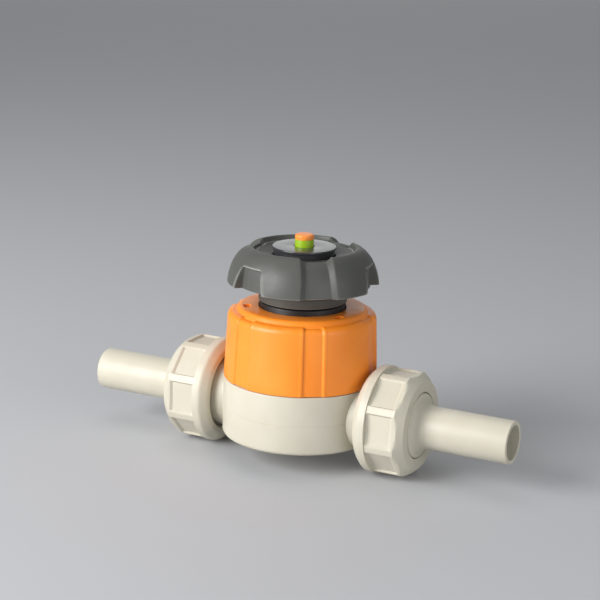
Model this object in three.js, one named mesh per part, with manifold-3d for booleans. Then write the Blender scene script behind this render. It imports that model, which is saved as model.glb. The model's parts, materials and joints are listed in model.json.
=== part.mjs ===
// Compact true-union diaphragm valve, DN15 with 20 mm butt-fusion spigots.
// Millimetres. Origin: middle of the flat base. +Z up along the spindle, +X along the pipe.
// The valve stands open: the spindle is at the top of its stroke.

import * as THREE from 'three';
import { mergeVertices } from 'three/addons/utils/BufferGeometryUtils.js';
import Module from 'manifold-3d';

const wasm = await Module();
wasm.setup();

// ---- Driving dimensions -------------------------------------------------------------

const fitGap = 0.3; // between pieces that seat on or slide in each other

const pipeDiameter = 20;
const pipeWall = 1.9;
const overallLength = 216; // spigot face to spigot face
const axisHeight = 14; // pipe axis above the base
const portBore = 15; // DN15

const bodyRadius = 36.4;
const bodyHeight = 28; // broad part, below the housing nut
const baseFillet = 2;
const cupHeight = 16; // threaded wall above the broad part
const cupBoreRadius = 27.9;
const cupWall = 2.9;
const seatHeight = 25; // where the diaphragm rim lies
const cavityRadius = 15;
const cavityDepth = 5; // from the seat down to the weir crest
const weirThickness = 6;
const pocketDepth = 3; // moulding pockets in the base

const insertSpacing = 25;
const insertRadius = 4;
const insertLength = 10;
const insertThreadRadius = 2.5; // M6 tapping size

const stroke = 7;
const diaphragmThickness = 3;
const studHeadRadius = 4;
const studHeadThickness = 1.7;
const studRadius = 2;
const studLength = 8.6;

const bonnetBoreRadius = 16;
const bonnetNeckRadius = 20.3;
const bonnetNeckHeight = 8.2;
const bonnetTopWall = 12.2;
const nutTopHeight = 62.3; // top plate of the housing nut
const nutPlateRise = 2.25; // the plate stands this much above the shoulder
const nutTopWall = 4.1;
const nutDraft = 1.3; // the skirt is this much wider at its foot
const nutWall = 5.1;
const nutShoulder = 3.2; // round edge at the top of the skirt
const nutChannelCount = 6;
const nutChannelDepth = 0.85;
const nutChannelWidth = 10;
const nutNotchRadius = 26.1;
const nutNotchDepth = 2.6;
const slideRingThickness = 1;

const housingPitch = 4;
const unionPitch = 4;
const spindlePitch = 4;
const threadHeight = 1;
const threadGap = 0.45;
const threadSunk = 0.5; // how deep a ridge is rooted in its core
const threadStart = 2; // degrees, where every thread begins

const portReach = 14; // of each port past the inner face of its union nut
const portRadius = 16.7; // under the thread
const unionNutClearance = 1.6; // from the body's broad part to the union nut
const unionNutLength = 24.8;
const unionFlangeRadius = 25.2;
const unionFlangeThickness = 6.9;
const unionFlangeSlope = 3.2; // cone on the flange's side towards the body
const unionOctagonRadius = 25.3;
const unionChamfer = 3.9;
const unionCollarThickness = 4;
const unionShoulder = 1.1; // how far the collar overlaps the nut's end wall
const unionConeLength = 6.5;

const spindleRadius = 5;
const spindleTopStep = 0.4; // the spindle is this much thinner above its thread
const indicatorRadius = 4.4;
const indicatorCapHeight = 2.4;
const indicatorShowing = 5.7; // above the cover disc, valve open

const spindleNutRadius = 9.3;
const spindleNutFlangeRadius = 14;
const spindleNutFlangeThickness = 3.5;
const washerThickness = 1;

const wheelTopHeight = 90.7;
const wheelFootHeight = 73.4;
const wheelTopRadius = 25.2;
const wheelFootRadius = 35.6;
const wheelHubRadius = 20.8;
const wheelWall = 5.8;
const wheelDishDepth = 3.7; // of the dish round the cover disc, below the rim
const fluteCount = 3;
const fluteDepth = 2.2;
const fluteFootWidth = 13.4;
const fluteTopWidth = 10.4;
const windowTopDrop = 6.4; // below the wheel's top
const windowFootWidth = 18;
const windowTopWidth = 11.5;
const windowFloorRadius = 31.6;
const discRadius = 14.9;
const discThickness = 1.2;

const fluteAngle = -51.2; // degrees, first flute of the handwheel
const channelAngle = -54.8; // first channel of the housing nut
const notchAngle = -24.5; // first spanner notch of the housing nut
const leftPanelAngle = 0; // turn of each union nut's octagon
const rightPanelAngle = -4;

// ---- Sizes worked out from them -----------------------------------------------------

const bodyTop = bodyHeight;
const cupTop = bodyHeight + cupHeight;
const cupRadius = cupBoreRadius + cupWall;
const crestHeight = seatHeight - cavityDepth;
const cavitySphere = (cavityRadius ** 2 + cavityDepth ** 2) / (2 * cavityDepth);

const rimBottom = seatHeight + fitGap;
const rimTop = rimBottom + diaphragmThickness;
const rimRadius = cupBoreRadius - 0.5;
const domeBottom = crestHeight + fitGap + stroke; // underside of the diaphragm's middle, open
const headBottom = domeBottom + 2.3;
const headTop = headBottom + studHeadThickness;
const bossTop = headTop + fitGap + 1.7;
const bossRadius = studHeadRadius + fitGap + 1.9;

const bonnetFoot = rimTop + fitGap;
const bonnetRadius = cupBoreRadius - 0.4;
const nutCeiling = nutTopHeight - nutTopWall;
const slideRingTop = nutCeiling - fitGap;
const bonnetShoulder = slideRingTop - slideRingThickness - fitGap;
const bonnetTop = bonnetShoulder + bonnetNeckHeight;
const bonnetCeiling = bonnetTop - bonnetTopWall;

const nutFoot = bodyTop + fitGap;
const nutRadius = bodyRadius - 0.1;
const nutThreadRadius = cupRadius + threadGap;
const nutShoulderRadius = nutRadius - nutDraft - nutShoulder; // centre of the round edge
const nutShoulderTop = nutTopHeight - nutPlateRise;
const nutPlateFoot = nutShoulderRadius - 0.8; // where the step up to the plate begins

const lowerWasherTop = bonnetCeiling - fitGap;
const lowerWasherBottom = lowerWasherTop - washerThickness;
const flangeTop = lowerWasherBottom - fitGap;
const flangeBottom = flangeTop - spindleNutFlangeThickness;
const upperWasherBottom = bonnetTop + fitGap;
const upperWasherTop = upperWasherBottom + washerThickness;
const hubCeiling = upperWasherTop + fitGap;

const compressorRadius = bonnetBoreRadius - 0.5;
const compressorLift = domeBottom + diaphragmThickness + fitGap; // underside at the middle
const compressorPlateTop = compressorLift + 9.4;
const compressorTop = flangeBottom - 0.9;
const studTop = headTop + studLength - studHeadThickness;
const spindleFoot = studTop + fitGap + 0.3;
const pinHeight = (compressorPlateTop + compressorTop) / 2;
const pinRadius = 1.5;
const hubRadius = spindleRadius + fitGap + 2.7;
const spindleTopRadius = spindleRadius - spindleTopStep;

const wheelWellFloor = wheelTopHeight - 7.6;
const discTop = wheelTopHeight + 0.2;
const discBottom = discTop - discThickness;
const wellRadius = discRadius - 0.3;
const spindleNutTop = wheelWellFloor + 2;
const ringBottom = wheelWellFloor + fitGap;
const ringThickness = 0.8;

const indicatorTop = discTop + indicatorShowing;
const capBottom = indicatorTop - indicatorCapHeight;
const indicatorFoot = wheelWellFloor + 1.7;
const indicatorPegRadius = 2.2;

const unionNutStart = bodyRadius + unionNutClearance;
const unionNutEnd = unionNutStart + unionNutLength;
const portEnd = unionNutStart + portReach; // sealing face, from the middle of the valve
const portThreadStart = unionNutStart + 2.6;
const unionBore = portRadius + threadGap;
const collarRadius = unionBore - threadGap;
const neckRadius = collarRadius - unionShoulder - 0.4;
const unionHole = neckRadius + 0.4;
const collarBottom = portEnd + fitGap;
const collarTop = collarBottom + unionCollarThickness;
const pipeRadius = pipeDiameter / 2;
const pipeBore = pipeRadius - pipeWall;

const bigSteps = 32;
const midSteps = 20;
const smallSteps = 12;
const housingSteps = 24; // of each thread, to a turn
const unionSteps = 16;
const spindleSteps = 10;
const degree = Math.PI / 180;

// ---- Geometry helpers ---------------------------------------------------------------

// A closed three.js geometry as a solid with its faces pointing out.
function toSolid(geometry) {
  geometry.deleteAttribute('normal');
  geometry.deleteAttribute('uv');
  const merged = mergeVertices(geometry, 1e-4);
  const vertices = merged.attributes.position.array;
  const corners = merged.index.array;
  const triangles = [];
  const a = new THREE.Vector3();
  const b = new THREE.Vector3();
  const c = new THREE.Vector3();
  let volume = 0;
  for (let i = 0; i < corners.length; i += 3) {
    const [p, q, r] = [corners[i], corners[i + 1], corners[i + 2]];
    if (p === q || q === r || r === p) continue;
    triangles.push([p, q, r]);
    a.fromArray(vertices, 3 * p);
    b.fromArray(vertices, 3 * q);
    c.fromArray(vertices, 3 * r);
    volume += a.dot(b.cross(c));
  }
  const facing = volume < 0 ? triangles.map(([p, q, r]) => [p, r, q]) : triangles;
  return new wasm.Manifold(new wasm.Mesh({
    numProp: 3,
    vertProperties: Float32Array.from(vertices),
    triVerts: Uint32Array.from(facing.flat()),
  }));
}

// A profile of [radius, height] points turned about Z. It closes on itself or on the axis.
function turned(profile, steps = bigSteps) {
  const points = profile.map(([radius, height]) => new THREE.Vector2(radius, height));
  const first = points[0];
  const last = points[points.length - 1];
  if (first.x > 0 || last.x > 0) points.push(first.clone());
  return new THREE.LatheGeometry(points, steps).rotateX(Math.PI / 2);
}

function ring(inner, outer, bottom, top, steps = midSteps) {
  return turned([[inner, bottom], [outer, bottom], [outer, top], [inner, top]], steps);
}

function rod(radius, bottom, top, steps = smallSteps) {
  return turned([[0, bottom], [radius, bottom], [radius, top], [0, top]], steps);
}

function block(sizeX, sizeY, bottom, top) {
  return new THREE.BoxGeometry(sizeX, sizeY, top - bottom).translate(0, 0, (bottom + top) / 2);
}

function oRing(radius, sectionRadius, height) {
  const section = [];
  for (let i = 0; i < 6; i += 1) {
    const angle = i * 60 * degree;
    section.push([radius + sectionRadius * Math.cos(angle), height + sectionRadius * Math.sin(angle)]);
  }
  return turned(section, midSteps);
}

// A V ridge wound round Z: a straight extrusion bent into a helix.
function helix({ radius, height, pitch, from, to, hand = 1, steps, grow = 0 }) {
  const root = 0.36 * pitch + grow;
  const section = new THREE.Shape();
  section.moveTo(-threadSunk, -root);
  section.lineTo(height + grow, 0);
  section.lineTo(-threadSunk, root);
  section.closePath();
  const turns = (to - from) / pitch;
  const sweep = 2 * Math.PI * turns;
  const ridge = new THREE.ExtrudeGeometry(section, {
    depth: sweep,
    steps: Math.round(turns * steps),
    bevelEnabled: false,
  });
  const points = ridge.attributes.position;
  for (let i = 0; i < points.count; i += 1) {
    const reach = radius + points.getX(i);
    const turn = points.getZ(i);
    const climb = from + points.getY(i) + (pitch * turn) / (2 * Math.PI);
    const angle = hand * turn + threadStart * degree;
    points.setXYZ(i, reach * Math.cos(angle), reach * Math.sin(angle), climb);
  }
  return ridge;
}

function joined(first, ...rest) {
  return rest.reduce((whole, geometry) => whole.add(toSolid(geometry)), toSolid(first));
}

function cut(solid, ...tools) {
  return tools.reduce((left, geometry) => left.subtract(toSolid(geometry)), solid);
}

function copiesAbout(count, firstAngle, make) {
  const step = (2 * Math.PI) / count;
  return Array.from({ length: count }, (_, i) => make().rotateZ(firstAngle * degree + step * i));
}

function finish(color, roughness, metalness = 0) {
  return new THREE.MeshStandardMaterial({ color, roughness, metalness });
}

const ppBeige = finish(0xe6dfcf, 0.45);
const nutOrange = finish(0xf58a22, 0.4);
const wheelGrey = finish(0x4a4b49, 0.6);
const discGrey = finish(0x3a3b3c, 0.25);
const bonnetBlack = finish(0x202122, 0.5);
const capOrange = finish(0xf7963a, 0.4);
const stemGreen = finish(0xa6ce1e, 0.4);
const rubberBlack = finish(0x1c1c1c, 0.8);
const brass = finish(0xb08d4a, 0.35, 1);
const steel = finish(0xb8bbbf, 0.3, 1);
const slidingWhite = finish(0xeeeeea, 0.35);

function piece(name, solid, material) {
  const mesh = solid.getMesh();
  const geometry = new THREE.BufferGeometry();
  geometry.setAttribute('position', new THREE.BufferAttribute(mesh.vertProperties, 3));
  geometry.setIndex(new THREE.BufferAttribute(mesh.triVerts, 1));
  const made = new THREE.Mesh(geometry, material);
  made.name = name;
  return made;
}

// ---- Valve body ---------------------------------------------------------------------

// Turns something drawn along Z, outwards from the valve's middle, onto one arm of the pipe.
function alongPipe(geometry, side) {
  return geometry.rotateY((side * Math.PI) / 2).translate(0, 0, axisHeight);
}

function bodyOutline() {
  const points = [[0, 0]];
  for (let i = 0; i <= 2; i += 1) {
    const angle = (i / 2) * (Math.PI / 2);
    const inset = baseFillet * (1 - Math.sin(angle));
    points.push([bodyRadius - inset, baseFillet * (1 - Math.cos(angle))]);
  }
  points.push([bodyRadius, bodyTop], [cupRadius, bodyTop], [cupRadius, cupTop - 0.8]);
  points.push([cupRadius - 0.8, cupTop], [cupBoreRadius, cupTop], [cupBoreRadius, seatHeight]);
  points.push([0, seatHeight]);
  return points;
}

// The sloping passage that lifts each port up to the seat.
function risingPassage(side) {
  const reach = cavityRadius * 1.1;
  const start = new THREE.Vector3(side * (reach + 4), 0, axisHeight - 1);
  const end = new THREE.Vector3(side * 6.5, 0, seatHeight - 0.5);
  const middle = start.clone().add(end).multiplyScalar(0.5);
  const direction = end.clone().sub(start);
  const radius = 0.36 * portBore;
  const passage = new THREE.CylinderGeometry(radius, radius, direction.length(), smallSteps);
  const turn = new THREE.Quaternion().setFromUnitVectors(new THREE.Vector3(0, 1, 0), direction.normalize());
  return passage.applyQuaternion(turn).translate(middle.x, middle.y, middle.z);
}

function basePocket() {
  const inner = insertSpacing / 2 + insertRadius + 3;
  const outer = bodyRadius - 4;
  const halfAngle = 19 * degree;
  const shape = new THREE.Shape();
  shape.absarc(0, 0, outer, -halfAngle, halfAngle, false);
  shape.absarc(0, 0, inner, halfAngle, -halfAngle, true);
  shape.closePath();
  const pocket = new THREE.ExtrudeGeometry(shape, {
    depth: pocketDepth + 1,
    bevelEnabled: false,
    curveSegments: 4,
  });
  return pocket.translate(0, 0, -1);
}

function valveBody() {
  const skirtSweep = ring(0, bodyRadius + 2, bodyTop, cupTop + 10, bigSteps);
  let ports = toSolid(alongPipe(rod(portRadius, 0, portEnd, midSteps), 1));
  ports = ports.add(toSolid(alongPipe(rod(portRadius, 0, portEnd, midSteps), -1)));
  const underBase = rod(bodyRadius + 0.6, -portRadius, 0, bigSteps);
  ports = cut(ports, skirtSweep, rod(cupBoreRadius, seatHeight, cupTop + 1, bigSteps), underBase);
  let body = toSolid(turned(bodyOutline())).add(ports);
  body = body.add(toSolid(helix({
    radius: cupRadius, height: threadHeight, pitch: housingPitch,
    from: bodyTop + 4, to: bodyTop + 4 + 1.25 * housingPitch, steps: housingSteps,
  })));
  for (const side of [1, -1]) {
    const thread = helix({
      radius: portRadius, height: threadHeight, pitch: unionPitch,
      from: portThreadStart, to: portThreadStart + 1.25 * unionPitch, steps: unionSteps,
    });
    body = body.add(toSolid(alongPipe(thread, side)));
    const bore = rod(portBore / 2, weirThickness / 2, portEnd + 1, midSteps);
    const sealGroove = ring(10.6, 13.2, portEnd - 2.3, portEnd + 1);
    body = cut(body, alongPipe(bore, side), risingPassage(side), alongPipe(sealGroove, side));
    const insertHole = rod(insertRadius + fitGap, -1, insertLength + fitGap + 0.3);
    body = cut(body, insertHole.translate(0, (side * insertSpacing) / 2, 0));
  }
  const sphere = new THREE.SphereGeometry(cavitySphere, midSteps, 20).rotateX(Math.PI / 2);
  const cavity = toSolid(sphere.translate(0, 0, crestHeight + cavitySphere));
  const belowSeat = toSolid(rod(cavityRadius + 1, crestHeight - 1, seatHeight + 1, bigSteps));
  body = body.subtract(cavity.intersect(belowSeat));
  for (const angle of [66, 114, 246, 294]) {
    body = cut(body, basePocket().rotateZ(angle * degree));
  }
  return body;
}

function mountingInsert() {
  const bottom = fitGap;
  const top = bottom + insertLength;
  const waist = insertRadius - 0.6;
  const outline = [
    [insertThreadRadius + 0.5, bottom], [insertRadius, bottom], [insertRadius, bottom + 3.4],
    [waist, bottom + 4.2], [waist, bottom + 5.8], [insertRadius, bottom + 6.6], [insertRadius, top],
    [insertThreadRadius, top], [insertThreadRadius, bottom + 0.5],
  ];
  return toSolid(turned(outline, smallSteps));
}

// ---- Diaphragm and compressor -------------------------------------------------------

function diaphragm() {
  const outline = [
    [0, domeBottom], [5, domeBottom - 0.1], [9, domeBottom - 0.5], [13, rimBottom + 0.6],
    [bonnetBoreRadius, rimBottom], [rimRadius, rimBottom], [rimRadius, rimTop],
    [bonnetBoreRadius, rimTop + 0.1], [13, rimTop + 0.7], [9, rimTop + 1.7],
    [bossRadius, rimTop + 2.4], [bossRadius, bossTop], [studRadius + fitGap, bossTop],
    [studRadius + fitGap, headTop + fitGap], [studHeadRadius + fitGap, headTop + fitGap],
    [studHeadRadius + fitGap, headBottom - fitGap], [0, headBottom - fitGap],
  ];
  return toSolid(turned(outline, midSteps));
}

function diaphragmStud() {
  return toSolid(turned([
    [0, headBottom], [studHeadRadius, headBottom], [studHeadRadius, headTop],
    [studRadius, headTop], [studRadius, studTop], [0, studTop],
  ], smallSteps));
}

function compressor() {
  const pocketRadius = bossRadius + 0.4;
  const outline = [[0, bossTop + fitGap], [pocketRadius, bossTop + fitGap]];
  for (const share of [0, 0.35, 0.7, 1]) {
    const radius = pocketRadius + share * (compressorRadius - pocketRadius);
    outline.push([radius, compressorLift + radius ** 2 / (2 * cavitySphere)]);
  }
  outline.push([compressorRadius, compressorPlateTop], [hubRadius, compressorPlateTop]);
  outline.push([hubRadius, compressorTop], [0, compressorTop]);
  const lug = block(2 * (bonnetBoreRadius + 4.5), 6, compressorPlateTop - 4, compressorPlateTop);
  const socket = rod(spindleRadius + fitGap, spindleFoot - fitGap, compressorTop + 1);
  const studHole = rod(studRadius + fitGap, bossTop - 1, spindleFoot);
  const pinHole = rod(pinRadius + fitGap, -bonnetBoreRadius, bonnetBoreRadius, 16);
  return cut(joined(turned(outline, midSteps), lug), socket, studHole, acrossSpindle(pinHole));
}

function acrossSpindle(geometry) {
  return geometry.rotateX(Math.PI / 2).translate(0, 0, pinHeight);
}

function compressorPin() {
  return toSolid(acrossSpindle(rod(pinRadius, -hubRadius + 0.3, hubRadius - 0.3, 16)));
}

// ---- Spindle and position indicator -------------------------------------------------

const spindleThreadBottom = flangeBottom + 5;
const spindleThreadTop = spindleThreadBottom + 1.5 * spindlePitch;
const spindleRingHeight = spindleThreadTop + 12;

function spindle() {
  const waist = spindleThreadTop + 2;
  const outline = [
    [0, spindleFoot], [spindleRadius - 0.6, spindleFoot], [spindleRadius, spindleFoot + 0.6],
    [spindleRadius, waist], [spindleTopRadius, waist + 0.6], [spindleTopRadius, spindleRingHeight - 1],
    [spindleTopRadius - 1.2, spindleRingHeight - 1], [spindleTopRadius - 1.2, spindleRingHeight + 1],
    [spindleTopRadius, spindleRingHeight + 1], [spindleTopRadius, indicatorFoot - fitGap],
    [indicatorPegRadius, indicatorFoot - fitGap], [indicatorPegRadius, capBottom + 0.2], [0, capBottom + 0.2],
  ];
  const thread = helix({
    radius: spindleRadius, height: threadHeight, pitch: spindlePitch, hand: -1,
    from: spindleThreadBottom, to: spindleThreadTop, steps: spindleSteps,
  });
  const pinHole = rod(pinRadius + fitGap, -2 * spindleRadius, 2 * spindleRadius, 16);
  return cut(joined(turned(outline, smallSteps), thread), acrossSpindle(pinHole));
}

function indicatorStem() {
  const bore = indicatorPegRadius + fitGap;
  return toSolid(ring(bore, indicatorRadius, indicatorFoot, capBottom - fitGap, smallSteps));
}

function indicatorCap() {
  const peg = indicatorPegRadius + fitGap;
  return toSolid(turned([
    [0, capBottom + 0.5], [peg, capBottom + 0.5], [peg, capBottom], [indicatorRadius, capBottom],
    [indicatorRadius, indicatorTop - 0.6], [indicatorRadius - 0.2, indicatorTop - 0.2],
    [indicatorRadius - 0.7, indicatorTop], [0, indicatorTop],
  ], smallSteps));
}

// ---- Bonnet -------------------------------------------------------------------------

function bonnet() {
  const throat = spindleNutRadius + fitGap;
  const outline = [
    [bonnetBoreRadius, bonnetFoot], [bonnetRadius, bonnetFoot], [bonnetRadius, bonnetShoulder],
    [bonnetNeckRadius, bonnetShoulder], [bonnetNeckRadius, bonnetTop - 0.5],
    [bonnetNeckRadius - 0.5, bonnetTop], [throat, bonnetTop],
    [throat, bonnetCeiling], [bonnetBoreRadius, bonnetCeiling],
  ];
  const keyway = block(2 * (bonnetBoreRadius + 5), 6 + 2 * fitGap, bonnetFoot - 1, bonnetCeiling);
  const groove = ring(bonnetRadius - 1.8, bonnetRadius + 1, bonnetRingHeight - 1.2, bonnetRingHeight + 1.2);
  return cut(toSolid(turned(outline, midSteps)), keyway, groove);
}

const bonnetRingHeight = bonnetFoot + 9.4;

function slideRing() {
  const bottom = slideRingTop - slideRingThickness;
  return toSolid(ring(bonnetNeckRadius + 0.4, bonnetRadius - 0.3, bottom, slideRingTop));
}

// ---- Housing nut --------------------------------------------------------------------

// Outside of the nut from its foot over the round shoulder, drawn in by an inset.
function nutSkin(inset) {
  const shoulderHeight = nutShoulderTop - nutShoulder;
  const points = [[nutRadius - inset, nutFoot]];
  for (let i = 0; i <= 3; i += 1) {
    const angle = (i / 3) * (Math.PI / 2);
    const reach = nutShoulder - inset;
    points.push([nutShoulderRadius + reach * Math.cos(angle), shoulderHeight + reach * Math.sin(angle)]);
  }
  return points;
}

// Straight skirt with a little draft, round shoulder, then a step up to the flat top plate.
function nutOutline() {
  const neckHole = bonnetNeckRadius + fitGap;
  const bonnetRoom = bonnetRadius + 0.8;
  return [
    [nutThreadRadius, nutFoot], ...nutSkin(0),
    [nutPlateFoot, nutShoulderTop], [nutPlateFoot - 0.8, nutShoulderTop + 0.55 * nutPlateRise],
    [nutPlateFoot - 1.6, nutTopHeight - 0.1], [nutPlateFoot - 2.6, nutTopHeight],
    [neckHole, nutTopHeight], [neckHole, nutCeiling],
    [bonnetRoom, nutCeiling], [bonnetRoom, cupTop + 1.6], [nutThreadRadius, cupTop + 0.6],
  ];
}

// A shallow grip channel from the foot of the top plate over the shoulder and down the skirt.
function gripChannel() {
  const length = nutRadius + 2 - nutPlateFoot;
  const channel = block(length, nutChannelWidth, nutFoot - 1, nutTopHeight + 1);
  return channel.translate(nutPlateFoot + length / 2, 0, 0);
}

function spannerNotch() {
  const notch = block(3.4, 5.4, nutTopHeight - nutNotchDepth, nutTopHeight + 1);
  return notch.translate(nutNotchRadius, 0, 0);
}

function housingNut() {
  const groove = helix({
    radius: nutThreadRadius - threadGap, height: threadHeight + threadGap / 2, pitch: housingPitch,
    from: bodyTop - housingPitch, to: bodyTop + 2.75 * housingPitch, steps: housingSteps, grow: threadGap / 2,
  });
  const channelFloor = toSolid(turned([
    [0, nutFoot - 2], [nutRadius - nutChannelDepth, nutFoot - 2], ...nutSkin(nutChannelDepth),
    [0, nutShoulderTop - nutChannelDepth],
  ]));
  let nut = toSolid(turned(nutOutline()));
  for (const channel of copiesAbout(nutChannelCount, channelAngle, gripChannel)) {
    nut = nut.subtract(toSolid(channel).subtract(channelFloor));
  }
  return cut(nut, groove, ...copiesAbout(3, notchAngle, spannerNotch));
}

// ---- Spindle nut, washers and retaining ring ----------------------------------------

function spindleNut() {
  const bore = spindleRadius + threadGap;
  const outline = [
    [bore, flangeBottom], [spindleNutFlangeRadius, flangeBottom], [spindleNutFlangeRadius, flangeTop],
    [spindleNutRadius, flangeTop], [spindleNutRadius, hubCeiling - 0.3], [bore, hubCeiling - 0.3],
  ];
  const driveLength = spindleNutTop - hubCeiling + 1;
  const drive = new THREE.CylinderGeometry(spindleNutRadius, spindleNutRadius, driveLength, 6);
  drive.rotateX(Math.PI / 2).translate(0, 0, spindleNutTop - driveLength / 2);
  const thread = helix({
    radius: spindleRadius, height: threadHeight + threadGap / 2, pitch: spindlePitch, hand: -1,
    from: spindleThreadBottom - stroke - 1, to: spindleThreadTop + 1, steps: spindleSteps,
    grow: threadGap / 2,
  });
  const clipFoot = ringBottom - fitGap;
  const clipTop = clipFoot + ringThickness + 2 * fitGap;
  const clip = ring(spindleNutRadius - 1.6, spindleNutRadius + 1, clipFoot, clipTop);
  const through = rod(bore, flangeBottom - 1, spindleNutTop + 1);
  return cut(joined(turned(outline, midSteps), drive), through, thread, clip);
}

function thrustWasher(bottom, outerRadius) {
  return toSolid(ring(spindleNutRadius + fitGap, outerRadius, bottom, bottom + washerThickness));
}

function retainingRing() {
  const outer = spindleNutRadius + 1.7;
  const band = toSolid(ring(spindleNutRadius - 1.3, outer, ringBottom, ringBottom + ringThickness));
  const slit = block(outer, 4, ringBottom - 1, ringBottom + 2).translate(outer, 0, 0);
  return cut(band, slit);
}

// ---- Handwheel ----------------------------------------------------------------------

// Rounded flank of the wheel, from its top rim to its foot, drawn in by an inset.
function wheelFlank(inset) {
  const points = [];
  const first = 10 * degree;
  const last = 82 * degree;
  const reach = (wheelFootRadius - wheelTopRadius) / (Math.sin(last) - Math.sin(first));
  const fall = (wheelTopHeight - wheelFootHeight) / (Math.cos(first) - Math.cos(last));
  for (let i = 0; i <= 4; i += 1) {
    const angle = first + ((last - first) * i) / 4;
    const radius = wheelTopRadius + reach * (Math.sin(angle) - Math.sin(first));
    points.push([radius - inset, wheelTopHeight - fall * (Math.cos(first) - Math.cos(angle))]);
  }
  return points;
}

function wheelOutline() {
  const lip = upperWasherBottom + 5;
  const inner = wheelFootRadius - wheelWall;
  return [
    [0, hubCeiling], [spindleNutRadius + 6.3, hubCeiling], [spindleNutRadius + 6.3, hubCeiling - 1],
    [wheelHubRadius, hubCeiling - 1], [wheelHubRadius, lip - 0.6], [wheelHubRadius + 1.1, lip],
    [wheelHubRadius + 1.1, lip + 2], [wheelHubRadius, lip + 3], [wheelHubRadius + 0.7, wheelFootHeight + 9],
    [inner - 5, wheelFootHeight + 8.5], [inner - 1.4, wheelFootHeight + 5.5], [inner, wheelFootHeight],
    ...wheelFlank(0).reverse(),
    [wheelTopRadius - 0.8, wheelTopHeight], [wheelTopRadius - 1.7, wheelTopHeight - 0.5 * wheelDishDepth],
    [wheelTopRadius - 2.9, wheelTopHeight - 0.75 * wheelDishDepth],
    [wellRadius, wheelTopHeight - wheelDishDepth],
    [wellRadius, wheelWellFloor], [0, wheelWellFloor],
  ];
}

function fluteCutter() {
  const plan = new THREE.Shape();
  plan.moveTo(wellRadius + 1, -fluteTopWidth / 2);
  plan.lineTo(wheelFootRadius + 4, -fluteFootWidth / 2);
  plan.lineTo(wheelFootRadius + 4, fluteFootWidth / 2);
  plan.lineTo(wellRadius + 1, fluteTopWidth / 2);
  plan.closePath();
  const slab = new THREE.ExtrudeGeometry(plan, { depth: 30, bevelEnabled: false });
  return slab.translate(0, 0, wheelFootHeight - 4);
}

function windowCutter() {
  const top = wheelTopHeight - windowTopDrop;
  const arch = new THREE.Shape();
  arch.moveTo(-windowFootWidth / 2, wheelFootHeight - 4);
  arch.lineTo(windowFootWidth / 2, wheelFootHeight - 4);
  arch.lineTo(windowTopWidth / 2 + 1, top - 2);
  arch.quadraticCurveTo(windowTopWidth / 2, top, windowTopWidth / 2 - 2, top);
  arch.lineTo(-windowTopWidth / 2 + 2, top);
  arch.quadraticCurveTo(-windowTopWidth / 2, top, -windowTopWidth / 2 - 1, top - 2);
  arch.closePath();
  const depth = wheelFootRadius + 4;
  const tunnel = new THREE.ExtrudeGeometry(arch, { depth, bevelEnabled: false, curveSegments: 4 });
  return tunnel.rotateX(Math.PI / 2).rotateZ(Math.PI / 2);
}

function handwheel() {
  const fluteFloor = turned([
    [0, wheelFootHeight - 6], [wheelFootRadius - fluteDepth, wheelFootHeight - 6],
    ...wheelFlank(fluteDepth).reverse(), [0, wheelTopHeight],
  ]);
  const flutes = copiesAbout(fluteCount, fluteAngle, fluteCutter);
  const windows = copiesAbout(fluteCount, fluteAngle + 180 / fluteCount, windowCutter);
  const windowFloor = toSolid(rod(windowFloorRadius, wheelFootHeight - 8, wheelTopHeight + 1, bigSteps));
  const floor = toSolid(fluteFloor);
  let wheel = toSolid(turned(wheelOutline(), bigSteps));
  for (const flute of flutes) {
    wheel = wheel.subtract(toSolid(flute).subtract(floor));
  }
  for (const opening of windows) {
    wheel = wheel.subtract(toSolid(opening).subtract(windowFloor));
  }
  const socketRadius = spindleNutRadius + fitGap;
  const socket = new THREE.CylinderGeometry(socketRadius, socketRadius, 40, 6);
  return cut(wheel, socket.rotateX(Math.PI / 2).translate(0, 0, wheelWellFloor - 10));
}

function coverDisc() {
  const hole = indicatorRadius + 0.4;
  const sealWall = hole + 1.8;
  const skirtFoot = wheelWellFloor + 1.4;
  return toSolid(turned([
    [hole, discTop], [hole, discBottom], [sealWall, discBottom], [sealWall, discBottom - 2.4],
    [sealWall + 1.4, discBottom - 2.4], [sealWall + 1.4, discBottom], [discRadius - 2, discBottom],
    [discRadius - 2, skirtFoot], [discRadius - 0.6, skirtFoot], [discRadius - 0.6, discBottom],
    [discRadius, discBottom], [discRadius, discTop - 0.3], [discRadius - 0.3, discTop],
  ], midSteps));
}

// ---- Union ends ---------------------------------------------------------------------

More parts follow.
